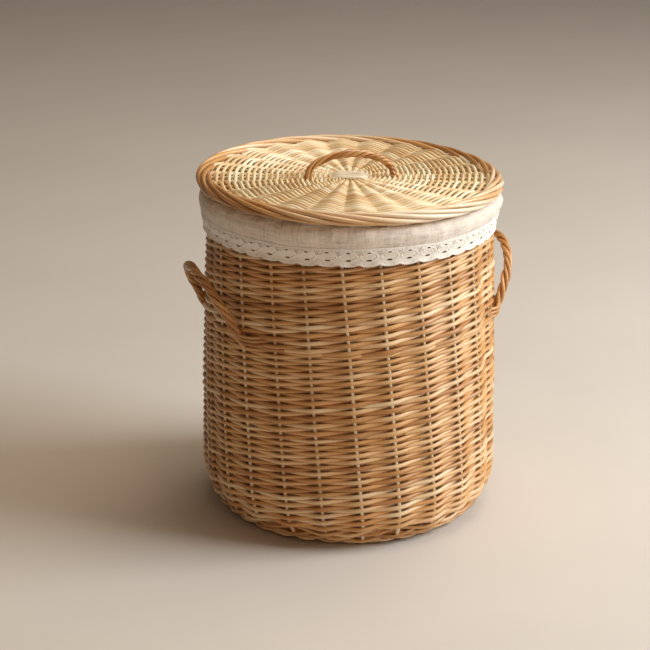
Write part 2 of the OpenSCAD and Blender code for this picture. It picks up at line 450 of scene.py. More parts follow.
def liner_linen():
    """Plain woven cloth. The weft attribute holds metres round and metres along."""
    name, colour, thread = "liner linen", paints().linen, MM
    if name in FINISHES:
        return FINISHES[name]
    material, wire, shader = new_finish(
        name, {"Sheen Weight": 0.25, "Sheen Roughness": 0.5, "Specular IOR Level": 0.2}
    )
    weft = wire.node("Attribute", {"attribute_name": "weft"}, None, 1)
    round_run, along = weft.part(0), weft.part(1)
    turns = TURN / thread
    slub_a = weft.stretched(45, 300, 1).noise(1.0, 3.0, 0.7)
    slub_b = weft.stretched(300, 45, 1).noise(1.0, 3.0, 0.7)
    warp = wire.math("SINE", round_run * turns + slub_b * 5.0)
    fill = wire.math("SINE", along * turns + slub_a * 5.0)
    weave = warp * fill
    blotch = weft.stretched(26, 40, 1).noise(1.0, 3.0, 0.55)
    thick = slub_a + slub_b
    shade = weave * 0.10 + thick * 1.05 + blotch * 0.55 - 0.72
    paint = shade.ramp((0.20, scaled(colour, 0.62)), (0.58, scaled(colour, 1.0)), (0.92, scaled(colour, 1.18)))
    height = weave * 0.5 + thick * 0.9
    bump = wire.node("Bump", None, {"Strength": 0.55, "Distance": 0.0004, "Height": height})
    feed(shader, Base_Color=paint, Roughness=blotch * 0.1 + 0.82, Normal=bump)
    return material


def cotton_lace():
    """Fine stitches, brighter on the raised cords. The third number of weft is how far a cord stands up."""
    colour = paints().lace
    material, wire, shader = new_finish(
        "cotton lace", {"Sheen Weight": 0.2, "Sheen Roughness": 0.5, "Specular IOR Level": 0.25}
    )
    weft = wire.node("Attribute", {"attribute_name": "weft"}, None, 1)
    raised = weft.part(2)
    stitch = weft.stretched(1400, 700, 0).noise(1.0, 2.0, 0.6)
    cloud = weft.stretched(30, 60, 0).noise(1.0, 2.0, 0.5)
    shade = raised * 0.35 + stitch * 0.45 + cloud * 0.25
    paint = shade.ramp((0.18, scaled(colour, 0.86)), (0.5, scaled(colour, 1.0)), (0.85, scaled(colour, 1.08)))
    bump = wire.node("Bump", None, {"Strength": 0.6, "Distance": 0.0004, "Height": stitch})
    feed(shader, Base_Color=paint, Roughness=stitch * 0.1 + 0.8, Normal=bump)
    return material


# --------------------------------------------------------------------------------------
# Sizes and colours that a user would change


def colour_property(name, description, default):
    return FloatVectorProperty(
        name=name, description=description, default=default, subtype="COLOR", size=3, min=0, max=1
    )


def length_property(name, description, default):
    return FloatProperty(name=name, description=description, default=default, unit="LENGTH", min=0.0)


class BasketSizes(bpy.types.PropertyGroup):
    """Sizes of the rods, the cloth and the lace."""

    weaver_butt: length_property("Weaver butt", "Thickness of a weaving rod at its thick end", 0.0053)
    weaver_tip: length_property("Weaver tip", "Thickness of a weaving rod at its thin end", 0.0041)
    stake: length_property("Stake", "Thickness of a side stake", 0.0048)
    wale: length_property("Foot rod", "Thickness of the rods woven round the foot", 0.0050)
    rib: length_property("Rib", "Thickness of a rib in the lid and the base", 0.0044)
    lid_weaver: length_property("Lid weaver", "Thickness of the lid's weaving rods at the edge", 0.0043)
    lid_weaver_middle: length_property("Lid weaver middle", "Thickness of the lid's weaving rods at the middle", 0.0030)
    border_rod: length_property("Border rod", "Thickness of the rods rolled into the lid's border", 0.0058)
    handle_rod: length_property("Handle rod", "Thickness of a rod in the side handles", 0.0051)
    lid_handle_rod: length_property("Lid handle rod", "Thickness of a rod in the lid's handle", 0.0043)
    lace_repeats: IntProperty(
        name="Lace repeats", description="Number of lace medallions round the rim", default=47, min=20, max=80
    )
    camera_distance: length_property("Camera distance", "From the camera to the lid's middle, along the view", 2.594)


class BasketFinish(bpy.types.PropertyGroup):
    """Colours of the willow, the cloth and the stage."""

    willow_pale: colour_property("Pale willow", "Palest tone of the weaving rods", (0.94, 0.80, 0.55))
    willow_honey: colour_property("Honey willow", "Middle tone of the weaving rods", (0.69, 0.395, 0.150))
    willow_brown: colour_property("Brown willow", "Darkest tone of the weaving rods", (0.33, 0.130, 0.032))
    lid_pale: colour_property("Pale lid willow", "Palest tone of the lid's rods", (0.95, 0.91, 0.74))
    lid_honey: colour_property("Honey lid willow", "Middle tone of the lid's rods", (0.85, 0.70, 0.44))
    lid_brown: colour_property("Brown lid willow", "Darkest tone of the lid's rods", (0.58, 0.36, 0.16))
    linen: colour_property("Linen", "Colour of the liner's cloth", (0.83, 0.75, 0.65))
    lace: colour_property("Lace", "Colour of the lace", (0.92, 0.88, 0.80))
    floor: colour_property("Floor", "Colour of the stage", (0.66, 0.63, 0.59))
    key_light: colour_property("Key light", "Colour of the main light", (0.94, 0.98, 1.0))


def sizes():
    return bpy.context.scene.basket_sizes


def paints():
    return bpy.context.scene.basket_finish


def weaver_willow():
    p = paints()
    return willow("willow weavers", p.willow_pale, p.willow_honey, p.willow_brown)


def stick_willow():
    p = paints()
    return willow("willow stakes", scaled(p.willow_pale, 1.1), scaled(p.willow_pale, 0.9), p.willow_honey, dark=-0.05)


def lid_willow():
    p = paints()
    return willow("lid weavers", p.lid_pale, p.lid_honey, p.lid_brown, rough=0.45, coat=0.4)


def lid_stick_willow():
    p = paints()
    return willow("lid ribs", scaled(p.lid_pale, 1.05), p.lid_pale, p.lid_honey, rough=0.45, coat=0.4, dark=-0.1)


def lid_border_willow():
    p = paints()
    return willow("lid border", p.lid_pale, p.willow_honey, p.willow_brown, rough=0.38, coat=0.55)


def border_willow():
    p = paints()
    return willow("willow border", p.willow_pale, p.willow_honey, p.willow_brown, rough=0.38, coat=0.55, dark=0.08)


def rope_willow():
    p = paints()
    honey = p.willow_honey
    return willow("willow ropes", honey, scaled(honey, 0.8), p.willow_brown, rough=0.38, coat=0.55, dark=0.05)


def tilted(obj):
    """Seats a lid piece as the liner holds it: raised a little and lower on the camera's right."""
    turn = Matrix.Rotation(LID_TILT, 4, CAMERA_BACK)
    pivot = Vector((0, 0, LID_LOW))
    move = Matrix.Translation(pivot + Vector((0, 0, LID_LIFT))) @ turn @ Matrix.Translation(-pivot)
    obj.data.transform(move)
    obj.data.update()
    return obj


# --------------------------------------------------------------------------------------
# Operators


class BASKET_OT_stage(bpy.types.Operator):
    """Floor, soft studio light and the camera"""

    bl_idname = "basket.stage"
    bl_label = "Stage, light and camera"

    def execute(self, context):
        floor_material, wire, shader = new_finish("stage floor", {"Specular IOR Level": 0.2})
        place = wire.node("TexCoord", None, None, 3)
        cloud = place.noise(3.0, 3.0, 0.5)
        colour = cloud.ramp((0.3, scaled(paints().floor, 0.98)), (0.7, scaled(paints().floor, 1.02)))
        feed(shader, Base_Color=colour, Roughness=cloud * 0.1 + 0.6)
        self.sweep(floor_material)
        self.lights()
        self.camera()
        return {"FINISHED"}

    def sweep(self, material):
        """A round floor that curves up into a backdrop all the way round."""
        reach, bend, height, around = 6.5, 2.0, 6.0, 96
        a = np.linspace(0, math.pi / 2, 24)
        run = np.r_[0.02, reach * np.linspace(0.1, 0.98, 8), reach + bend * np.sin(a), reach + bend]
        rise = np.r_[np.zeros(9), bend * (1 - np.cos(a)), height]
        angle = np.arange(around) * 2 * math.pi / around
        points = around_axis(run[:, None], angle, rise[:, None]).reshape(-1, 3)
        mesh_object("stage_floor", points, grid_quads(len(run), around), NO_TRIS, {}, material)

    def lights(self):
        world = bpy.data.worlds.new("studio")
        bpy.context.scene.world = world
        world.use_nodes = True
        background = world.node_tree.nodes["Background"]
        background.inputs["Color"].default_value = (1.0, 0.70, 0.46, 1.0)
        background.inputs["Strength"].default_value = 0.10
        self.area("key_light", 97, 30, 3.2, 1.8, 118, paints().key_light)
        self.area("top_light", 60, 75, 3.4, 2.2, 60, (1.0, 0.82, 0.62))
        self.area("front_light", 170, 25, 3.4, 2.4, 14, (1.0, 0.57, 0.31))

    def area(self, name, turn, rise, distance, size, power, colour):
        """A square light that faces the basket. turn runs from behind it to the camera's right, in degrees."""
        data = bpy.data.lights.new(name, "AREA")
        data.size, data.energy, data.color = size, power, colour[:3]
        light = bpy.data.objects.new(name, data)
        bpy.context.scene.collection.objects.link(light)
        a, e = math.radians(turn), math.radians(rise)
        away = (CAMERA_RIGHT * math.sin(a) + CAMERA_BACK * math.cos(a)) * math.cos(e) + Vector((0, 0, math.sin(e)))
        light.location = Vector((0, 0, 0.25)) + away * distance
        light.rotation_euler = away.to_track_quat("Z", "Y").to_euler()
        light.visible_camera = False

    def camera(self):
        """Looks down on the lid's middle, which lies aim_right and aim_up from the middle of the view."""
        pitch = math.radians(19.73)
        data = bpy.data.cameras.new("camera")
        data.sensor_width = 36.0
        data.lens = 110.77
        camera = bpy.data.objects.new("camera", data)
        bpy.context.scene.collection.objects.link(camera)
        forward = CAMERA_BACK * math.cos(pitch) - Vector((0, 0, math.sin(pitch)))
        up = CAMERA_RIGHT.cross(forward)
        aim_right, aim_up = 0.032, 0.1986
        lid_middle = Vector((0, 0, LID_TOP))
        camera.location = lid_middle - CAMERA_RIGHT * aim_right - up * aim_up - forward * sizes().camera_distance
        camera.rotation_euler = forward.to_track_quat("-Z", "Y").to_euler()
        bpy.context.scene.camera = camera


class BASKET_OT_base(bpy.types.Operator):
    """Sticks of the base and the rods woven round them"""

    bl_idname = "basket.base"
    bl_label = "Base"

    def execute(self, context):
        size = sizes()
        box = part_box("base_weave")
        middle = box[0].z + 0.0062
        reach = box[1].x - 0.002
        for name, turn, lift in (("base_through_sticks", 0, 0.0), ("base_split_sticks", 90, size.rib)):
            sticks = Bundle(21 + turn)
            fan(sticks, math.radians(turn) + STAKE_TURN, middle, lift, reach, size.rib)
            belong(sticks.build(name, stick_willow()), "basket", name)
        weave = Bundle(23)
        rod, start = 0.0042, 0.026
        steps = int((reach - start) / rod)
        angle_at = lambda k, s: k * STEP + STEP / 2 + STAKE_TURN
        core = lambda s: size.rib / 2 - 0.0003
        randing(weave, Disc(middle, -1).place, angle_at, start, (rod, rod), steps, core, 6, 6)
        belong(weave.build("base_weave", weaver_willow()), "basket", "base_weave")
        return {"FINISHED"}


def fan(bundle, turn, z, lift, reach, rod):
    """Sticks side by side in the middle, which fan out to even angles. lift raises them in the middle only."""
    pitch, count = 0.0046, 6
    x = np.r_[np.linspace(-reach, -0.06, 16), np.linspace(-0.055, 0.055, 45), np.linspace(0.06, reach, 16)]
    for i in range(count):
        y = (i - (count - 1) / 2) * pitch
        a = (i - (count - 1) / 2) * STEP
        share = smooth(np.abs(x), 0.012, 0.042)
        px = x * (1 - share) + x * math.cos(a) * share
        py = y * (1 - share) + np.abs(x) * math.sin(a) * share
        pz = z + lift * (1 - smooth(np.abs(x), 0.013, 0.030))
        bundle.add(spun(px, py, pz, turn), rod / 2 * (1 - 0.12 * np.abs(x) / reach), (0, 0, 1))


class BASKET_OT_stakes(bpy.types.Operator):
    """Upright stakes of the side"""

    bl_idname = "basket.stakes"
    bl_label = "Side stakes"

    def execute(self, context):
        size = sizes()
        stakes = Bundle(31)
        s = np.linspace(0.004, WALL.run_at(WALL_TOP), 90)
        z = np.interp(s, WALL.s, WALL.z)
        for k in range(STAKES):
            angle = stake_angle(k, z) + 0.004 * wobble(s, 300 + k, 3, 0.5)
            line, out = WALL.place(angle, s, -stake_depth(size) + 0.0014)
            taper = 1 - 0.18 * s / s[-1]
            stakes.add(line, size.stake / 2 * taper * 1.04, out, 10)
        belong(stakes.build("side_stakes", stick_willow()), "basket", "side_stakes")
        return {"FINISHED"}


def stake_depth(size):
    """How far a stake's middle lies inside the outer face."""
    return size.stake / 2 + size.weaver_butt


def side_angle(k, s):
    """Angle of stake k at a distance up the face."""
    return stake_angle(k, np.interp(s, WALL.s, WALL.z))


class BASKET_OT_foot(bpy.types.Operator):
    """Thick rods woven round the foot in threes"""

    bl_idname = "basket.foot"
    bl_label = "Foot"

    def execute(self, context):
        size = sizes()
        foot = Bundle(41)
        rod, rows = size.wale, 4
        low, high = 0.0035, WALL.run_at(CORNER_START) - 0.001
        pitch = (high - low) / rows
        swing = size.stake / 2 + rod / 2
        n = np.linspace(0, STAKES + 0.6, 24 * 12)
        for row in range(rows):
            for j in range(3):
                phase = 2 * math.pi * (n - j) / 3 + 0.5 * np.sin(2 * math.pi * (n - j) / 3)
                s = low + pitch * (row + 0.5 + 0.30 * np.sin(phase)) + pitch * 0.15 * np.sin(n * 0.7 + j)
                lift = np.minimum(swing * np.cos(phase) - stake_depth(size), -rod / 2)
                line, out = WALL.place(side_angle(n + row + j * 8 / 3, s), s, lift)
                line[:, 2] = np.maximum(line[:, 2], rod / 2)
                foot.add(line, rod / 2 * (1 + 0.04 * wobble(n, 40 + j + 3 * row, 3, 9.0)), out)
        belong(foot.build("foot_wale", border_willow()), "basket", "foot_wale")
        return {"FINISHED"}


class BASKET_OT_side(bpy.types.Operator):
    """Three bands of weaving, each of rods that start thick at its foot"""

    bl_idname = "basket.side"
    bl_label = "Woven side"

    def execute(self, context):
        size = sizes()
        ends = [CORNER_START, *BAND_TOPS]
        depth = stake_depth(size)
        butt, tip = size.weaver_butt, size.weaver_tip
        mean = (butt + tip) / 2
        for i, name in enumerate(("weave_lower", "weave_middle", "weave_upper")):
            low, high = WALL.run_at(ends[i]), WALL.run_at(ends[i + 1])
            # A band above another starts one tip lower, in the steps that the one below leaves
            margins = (0.5 - RANDING_START - (1 if i else 0)) * butt + (0.5 + RANDING_END) * tip
            steps = int(round((high - low - margins) / mean))
            scale = (high - low) / (steps * mean + margins)
            thick = (butt * scale, tip * scale)
            start = low + (0.5 - RANDING_START) * thick[0] - (thick[1] if i else 0)
            band = Bundle(51 + i)
            place = lambda angle, s, lift: WALL.place(angle, s, lift - depth)
            core = lambda s: size.stake / 2 - 0.0002
            randing(band, place, side_angle, start, thick, steps, core, 8, 8, 0.9 * MM, 0.5, 1.16)
            belong(band.build(name, weaver_willow()), "basket", name)
        return {"FINISHED"}


def rolled_border(bundle, middle, half, rod, span, ends, turn, sides, per_step, tone_and_shade_at=None):
    """Rods rolled round an oval section, whose middle and half size are given across and up.

    Each rod runs between the ends, angles round the section with 0 outside and 90 on top, while it travels span
    rib spacings.
    """
    rng = bundle.rng
    (middle_r, middle_z), (half_w, half_h), (begin, end) = middle, half, ends
    for k in range(STAKES):
        n = np.linspace(0, span, int(span * per_step))
        share = n / span
        a = math.radians(begin) + math.radians(end - begin) * share
        size = rod * (1.03 - 0.22 * share) * (1 + rng.uniform(-0.05, 0.05))
        w, h = half_w - size / 2, half_h - size / 2
        r = middle_r + w * np.cos(a) * (1 + rng.uniform(-0.03, 0.03))
        z = middle_z + h * np.sin(a)
        angle = turn + (k + n) * STEP + rng.uniform(-0.01, 0.01)
        line, out = around_axis(r, angle, z), around_axis(np.cos(a), angle, np.sin(a))
        # When given, the tone function adds painted shade to a rod's random tone
        tone = None if tone_and_shade_at is None else tone_and_shade_at(float(angle[len(angle) // 2]), rng.uniform(-0.22, 0.22))
        bundle.add(line, size / 2, out, sides, tone)


class BASKET_OT_rim(bpy.types.Operator):
    """Stakes turned down and rolled into the rim, under the liner"""

    bl_idname = "basket.rim"
    bl_label = "Rim border"

    def execute(self, context):
        rim = Bundle(61)
        rod, half = 0.0056, (RIM_TOP - RIM_LOW) / 2
        middle_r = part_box("rim_border")[1].x - half
        middle = (middle_r - 0.0005, (RIM_LOW + RIM_TOP) / 2 - 0.002)
        rolled_border(rim, middle, (half - 0.0005, half - 0.001), rod, 6.0, (170, -190), 0.0, 8, 5)
        belong(rim.build("rim_border", border_willow()), "basket", "rim_border")
        return {"FINISHED"}


class BASKET_OT_liner(bpy.types.Operator):
    """Linen tube and floor inside the basket"""

    bl_idname = "basket.liner"
    bl_label = "Liner"

    def execute(self, context):
        linen = liner_linen()
        inset = 0.0170
        floor_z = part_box("liner_floor")[0].z + 0.0008
        floor_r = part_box("liner_floor")[1].x
        around = 480
        angle = np.arange(around) * 2 * math.pi / around
        in_rim = np.linspace(RIM_LOW + 0.002, RIM_TOP - 0.001, 6)
        z = np.r_[floor_z + 0.0005, np.linspace(0.026, RIM_LOW - 0.002, 60), in_rim]
        r = WALL.radius_at(np.maximum(z, 0.04)) - inset
        r[0] = floor_r - 0.002
        r[1] = floor_r + 0.002
        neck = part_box("rim_border")[1].x - 0.0165
        r = np.minimum(r, np.where(z > RIM_LOW - 0.001, neck, 1.0))
        pleat = 0.0012 * wobble(angle, 11, 9, TURN)[None, :]
        fade = (smooth(z, 0.02, 0.12) * (1 - smooth(z, RIM_LOW - 0.05, RIM_LOW)))[:, None]
        fold = 0.0016 * np.sin(angle[None, :] * 23 + 2.0 * wobble(z, 12, 3, 0.4)[:, None]) * fade
        r = r[:, None] - np.abs(pleat) * fade - np.abs(fold)
        points = around_axis(r, angle, z[:, None]).reshape(-1, 3)
        weft = np.stack(np.broadcast_arrays(angle * 0.185, z[:, None], 0.0), -1).reshape(-1, 3)
        side = mesh_object("liner_side", points, grid_quads(len(z), around), NO_TRIS, {"weft": weft}, linen)
        belong(side, "basket", "liner_side")

        rings = np.linspace(0, floor_r - 0.001, 40)[1:]
        x = rings[:, None] * np.cos(angle[::4])
        y = rings[:, None] * np.sin(angle[::4])
        swell = 0.0012 * (0.5 + 0.5 * wobble(x + y * 0.6, 14, 5, 0.3)) * (1 - rings[:, None] / floor_r)
        puff = floor_z + 0.0006 + swell
        points = np.stack([x, y, puff], -1).reshape(-1, 3)
        m = x.shape[1]
        tris = cap_tris(m)
        tris[:, 2] = len(points)
        points = np.r_[points, [[0, 0, float(puff[0].mean())]]]
        panel = mesh_object("liner_floor", points, grid_quads(len(rings), m)[:, ::-1], tris, {"weft": points}, linen)
        belong(panel, "basket", "liner_floor")
        return {"FINISHED"}


def camera_side(angle):
    """1 on the camera's right, -1 on its left."""
    return np.cos(angle - CAMERA_TURN)


def rounded(t, knots_t, knots):
    """A value between knots, with the corners at the knots rounded off."""
    fine = np.linspace(0, 1, 401)
    soft = np.hanning(49) / np.hanning(49).sum()
    row = np.convolve(np.pad(np.interp(fine, knots_t, knots), 24, "reflect", reflect_type="odd"), soft, "valid")
    return np.interp(t, fine, row)


def cuff_points(angle, t):
    """Radius and height of the gathered cuff. t is the share of its fold, from inside the neck to the hem."""
    top = CUFF_TOP - 0.0012 - 0.0026 * camera_side(angle)
    knots_t = np.array([0.0, 0.16, 0.26, 0.34, 0.44, 0.54, 0.66, 0.82, 1.0])
    knots_r = np.array([0.1712, 0.1712, 0.1735, 0.1790, 0.1880, 0.1938, 0.1958, 0.1945, 0.1922])
    knots_h = np.array([-0.018, -0.006, -0.0012, 0.0, -0.0005, -0.0040, -0.0120, -0.0225, -0.0330])
    r = rounded(t, knots_t, knots_r)
    h = rounded(t, knots_t, knots_h)
    low = CUFF_LOW + 0.0005
    share = smooth(t, 0.44, 1.0)
    z = (top + h) * (1 - share) + (low + (h - knots_h[-1])) * share
    outside = smooth(t, 0.40, 0.60)
    hem = smooth(t, 0.72, 1.0)
    gather = wobble(angle + 0.03 * t, 91, 6, TURN / 17) * 0.0007 + wobble(angle - 0.08 * t, 92, 5, TURN / 7) * 0.0016
    swell = 0.0012 * np.sin(math.pi * smooth(t, 0.45, 1.0)) * (1 + wobble(angle, 93, 4, TURN / 5))
    drag = 0.10 * wobble(angle, 94, 3, TURN / 4) * (t - 0.5)
    pleat = np.sin(angle * 61 + 9 * drag + 2.4 * wobble(angle, 95, 5, TURN / 3))
    near_lid = 1 - smooth(t, 0.45, 0.72)
    pucker = 0.0007 * pleat * (0.5 + 0.5 * wobble(angle, 96, 4, TURN / 7)) * near_lid
    r = r + outside * (gather * (1 - 0.6 * hem) + swell + pucker)
    z = z + 0.0006 * wobble(angle, 97, 6, TURN / 6) * hem
    return r, z


class BASKET_OT_cuff(bpy.types.Operator):
    """Linen folded over the rim, gathered under the lid"""

    bl_idname = "basket.cuff"
    bl_label = "Cuff"

    def execute(self, context):
        around, along = 900, 60
        angle = np.broadcast_to(np.arange(around) * 2 * math.pi / around, (along, around))
        t = np.broadcast_to(np.linspace(0, 1, along)[:, None], (along, around))
        r, z = cuff_points(angle, t)
        points = around_axis(r, angle, z).reshape(-1, 3)
        weft = np.stack([angle * 0.19, t * 0.068, 0 * t], -1).reshape(-1, 3)
        quads = grid_quads(along, around)[:, ::-1]
        cuff = mesh_object("liner_cuff", points, quads, NO_TRIS, {"weft": weft}, liner_linen())
        belong(cuff, "basket", "liner_cuff")
        return {"FINISHED"}


def oval(x, y, cx, cy, rx, ry, turn=0.0):
    """Distance, about in metres, outside an oval."""
    c, s = math.cos(turn), math.sin(turn)
    dx, dy = (x - cx) * c + (y - cy) * s, (y - cy) * c - (x - cx) * s
    return (np.hypot(dx / rx, dy / ry) - 1) * min(rx, ry)


# One repeat of the lace, in millimetres
LACE_WIDTH, LACE_DROP = 26.0, 25.4


def lace_pattern(x, y):
    """How far inside the lace a point lies, and how far its cords stand up.

    x runs from the middle of a medallion and y down from the top edge, in millimetres.
    """
    half = LACE_WIDTH / 2
    holes = [
        oval(x, y, 0.2, 15.9, 3.9, 1.15, -0.03),
        oval(x, y, -0.4, 5.4, 2.9, 0.85),
        oval(x, y, 6.6, 14.1, 2.4, 0.42, -0.45),
        oval(x, y, 9.6, 12.0, 1.9, 0.36, -0.75),
        oval(x, y, -8.0, 13.2, 1.6, 0.36, 0.65),
        oval(x, y, -8.2, 7.2, 1.7, 0.36, -0.6),
        oval(x, y, 6.0, 6.6, 1.5, 0.36, 0.45),
    ]
    for side in (-1, 1):
        for cx, cy in ((half, 4.4), (10.4, 3.6), (11.6, 6.3), (half, 8.3), (5.2, 3.2)):
            holes.append(oval(x, y, side * cx, cy, 0.85, 0.62))
        for cx, cy in ((half, 12.6), (11.7, 10.6)):
            holes.append(oval(x, y, side * cx, cy, 0.45, 0.8))
    for cx in (-6.0, 0.0, 6.0):
        holes.append(oval(x, y, cx, 20.3, 0.5, 0.5))
    edge_lobe = 24.6 - 0.016 * x**2 + 0.55 * np.cos(2 * math.pi * x / 3.4)
    arch = 21.6 + 0.9 * np.abs(np.abs(x) - half)
    bottom = np.minimum(edge_lobe, np.where(np.abs(x) > 8.6, np.maximum(arch, 20.8), 99.0))
    inside = np.minimum.reduce(holes + [bottom - y])
    lens = oval(x, y, 0, 10.6, 10.8, 5.2)
    cord = np.exp(-((np.abs(lens) / 0.62) ** 2))
    inner = 0.6 * np.exp(-((np.abs(oval(x, y, 0, 10.6, 6.0, 2.6)) / 0.5) ** 2))
    lobe = 0.8 * np.exp(-(((bottom - y - 1.3) / 0.6) ** 2))
    heading = 0.7 * np.exp(-(((y - 1.0) / 0.5) ** 2))
    grid_a = np.exp(-((np.mod(x * 0.75 + y + 0.6, 2.6) - 1.3) ** 2) / 0.16)
    grid_b = np.exp(-((np.mod(x * 0.75 - y + 0.6, 2.6) - 1.3) ** 2) / 0.16)
    net = 0.55 * np.maximum(grid_a, grid_b) * (lens > 0.4) * (y < 13) * (y > 2.2)
    rays = 0.25 * (0.5 + 0.5 * np.cos(2 * math.pi * x / 1.1)) * (y > 16.5)
    return inside, np.maximum.reduce([cord, inner, lobe, heading, net, rays])


class BASKET_OT_lace(bpy.types.Operator):
    """Cotton lace sewn to the cuff's hem"""

    bl_idname = "basket.lace"
    bl_label = "Lace"

    def execute(self, context):
        repeats, columns, rows = sizes().lace_repeats, 38, 42
        total = repeats * columns
        column = np.arange(total)
        step = LACE_WIDTH / columns
        across = (np.mod(column, columns) + 0.5) * LACE_WIDTH / columns - LACE_WIDTH / 2
        x, y = np.meshgrid(across, np.linspace(0, LACE_DROP, rows))
        inside, raised = lace_pattern(x, y)

        # Points near an edge move onto it, so that the holes are cut smoothly
        nudge, limit = 0.05, 0.48 * step
        gx = (lace_pattern(x + nudge, y)[0] - lace_pattern(x - nudge, y)[0]) / (2 * nudge)
        gy = (lace_pattern(x, y + nudge)[0] - lace_pattern(x, y - nudge)[0]) / (2 * nudge)
        steep = np.maximum(gx**2 + gy**2, 0.05)
        keep_point = inside > -0.38 * step
        edge = np.abs(inside) < 0.75 * step
        move_x = np.clip(-inside * gx / steep, -limit, limit) * edge * keep_point
        move_y = np.clip(-inside * gy / steep, -limit, limit) * edge * keep_point
        move_y[0] = 0
        quads = grid_quads(rows, total)
        quads = quads[keep_point.ravel()[quads].all(1)]
        used = np.unique(quads)
        number = -np.ones(rows * total, int)
        number[used] = np.arange(len(used))
        angle = (column[None, :] + 0.5) / total * 2 * math.pi + move_x / LACE_WIDTH * 2 * math.pi / repeats
        depth = (y + move_y) * MM
        r_hem, z_hem = cuff_points(angle, np.full_like(angle, 0.94))
        z = z_hem + 0.0010 - depth
        wall = WALL.radius_at(z) + 0.0010
        flare = 0.0007 * smooth(depth, 0.012, 0.024) * (1 + np.cos(angle * repeats))
        ripple = 0.0005 * wobble(angle, 99, 6, TURN / 12) * smooth(depth, 0.004, 0.02)
        hang = smooth(depth, 0.003, 0.02)
        r = np.maximum((r_hem + 0.0007) * (1 - hang) + wall * hang, wall)
        r = r + flare + ripple + 0.00045 * raised
        points = around_axis(r, angle, z).reshape(-1, 3)[used]
        weft = np.stack([angle * 0.192, depth, raised], -1).reshape(-1, 3)[used]
        lace = mesh_object("lace_trim", points, number[quads][:, ::-1], NO_TRIS, {"weft": weft}, cotton_lace())
        belong(lace, "basket", "lace_trim")
        return {"FINISHED"}


def rope(bundle, middle, out, rod, spread, twist, seed):
    """Four rods twisted a little loosely round a middle line. twist is the angle at each point of it."""
    strands, loose = 4, 0.30
    share = np.linspace(0, 1, len(middle))
    along = unit(np.gradient(middle, axis=0))
    across = unit(np.cross(along, out))
    up = np.cross(across, along)
    rng = np.random.RandomState(seed)
    for j in range(strands):
        a = twist + 2 * math.pi * j / strands + rng.uniform(-0.15, 0.15)
        s = spread * (1 + loose * wobble(share, rng.randint(9999), 3, 0.6))
        line = middle + (np.cos(a) * s)[:, None] * across + (np.sin(a) * s)[:, None] * up
        size = rod * (1 + rng.uniform(-0.08, 0.06)) * (1 + 0.04 * wobble(share, rng.randint(9999), 3, 0.5))
        tone = (j + 0.5 + rng.uniform(-0.4, 0.4)) / strands
        bundle.add(line, size / 2, across + up * 0.3, 10, tone)


def resampled(points, count):
    """Points evenly spaced along a polyline."""
    run = np.r_[0, np.cumsum(np.linalg.norm(np.diff(points, axis=0), axis=1))]
    t = np.linspace(0, run[-1], count)
    return np.stack([np.interp(t, run, points[:, i]) for i in range(3)], -1)


class BASKET_OT_side_handles(bpy.types.Operator):
    """Two loops of twisted rods through the side"""

    bl_idname = "basket.side_handles"
    bl_label = "Side handles"

    def execute(self, context):
        size = sizes()
        foot_z, half_angle, lean = 0.274, math.radians(24), math.radians(27.4)
        wall = float(WALL.radius_at(foot_z))
        half_w, chord = wall * math.sin(half_angle), wall * math.cos(half_angle)
        tall = 0.072 / math.cos(lean)
        leg = tall - half_w
        for name, turn, seed in (("side_handle_right", 0.0, 5), ("side_handle_left", math.pi, 8)):
            a = np.linspace(0, math.pi, 60)
            u = np.r_[np.full(8, half_w), half_w * np.cos(a), np.full(8, -half_w)]
            up_leg = np.linspace(-0.016, leg - 0.003, 8)
            v = np.r_[up_leg, leg + half_w * np.sin(a), np.linspace(leg - 0.003, -0.016, 8)]
            line = np.stack([chord + v * math.sin(lean), u, foot_z + v * math.cos(lean)], -1)
            line = spun(*resampled(line, 120).T, turn)
            handle = Bundle(70 + seed)
            twist = np.linspace(0, 1, 120) * 2 * math.pi * 4.3
            c, s = math.cos(turn), math.sin(turn)
            out = np.array([c * math.cos(lean), s * math.cos(lean), -math.sin(lean)])
            rope(handle, line, out, size.handle_rod, 0.0037, twist, seed)
            for side in (-1, 1):
                way_in = line if side < 0 else line[::-1]
                self.tails(handle, way_in, turn + side * half_angle, side, foot_z, size.handle_rod)
            belong(handle.build(name, rope_willow()), "basket", name)
        return {"FINISHED"}

    def tails(self, handle, line, foot, way, foot_z, rod):
        """Three rod ends that run on from the end of line into the weave. way is 1 or -1 round the wall."""
        for j in range(3):
            leave = line[-26 + 3 * j : -14 : 3]
            share = np.linspace(0.06, 1, 12)
            s = WALL.run_at(foot_z) + (j - 1) * 0.0042 + 0.002 * share
            lift = 0.0034 - 0.0125 * smooth(share, 0.45, 1.0)
            along, _ = WALL.place(foot + way * share * STEP * (0.95 - 0.1 * j), s, lift)
            path = resampled(np.r_[leave, along], 30)
            path[2:-2] = (path[:-4] + path[1:-3] + path[2:-2] + path[3:-1] + path[4:]) / 5
            handle.add(path, rod * np.linspace(0.46, 0.36, 30), (math.cos(foot), math.sin(foot), 0.2))


class BASKET_OT_lid_ribs(bpy.types.Operator):
    """Two bundles of ribs that cross in the middle of the lid and fan out"""

    bl_idname = "basket.lid_ribs"
    bl_label = "Lid ribs"

    def execute(self, context):
        size = sizes()
        z = lid_rib_z()
        reach = LID_R - LID_BORDER_W
        for name, turn, lift in (("lid_through_sticks", 90, 0.0), ("lid_split_sticks", 0, size.rib)):
            ribs = Bundle(81 + turn)
            fan(ribs, LID_TURN + math.radians(turn), z, lift, reach, size.rib)
            belong(tilted(ribs.build(name, lid_stick_willow())), "lid", name)
        return {"FINISHED"}


def lid_rib_z():
    """Height of the middle of the lid's ribs."""
    size = sizes()
    return LID_TOP - 0.003 - size.lid_weaver - size.rib / 2


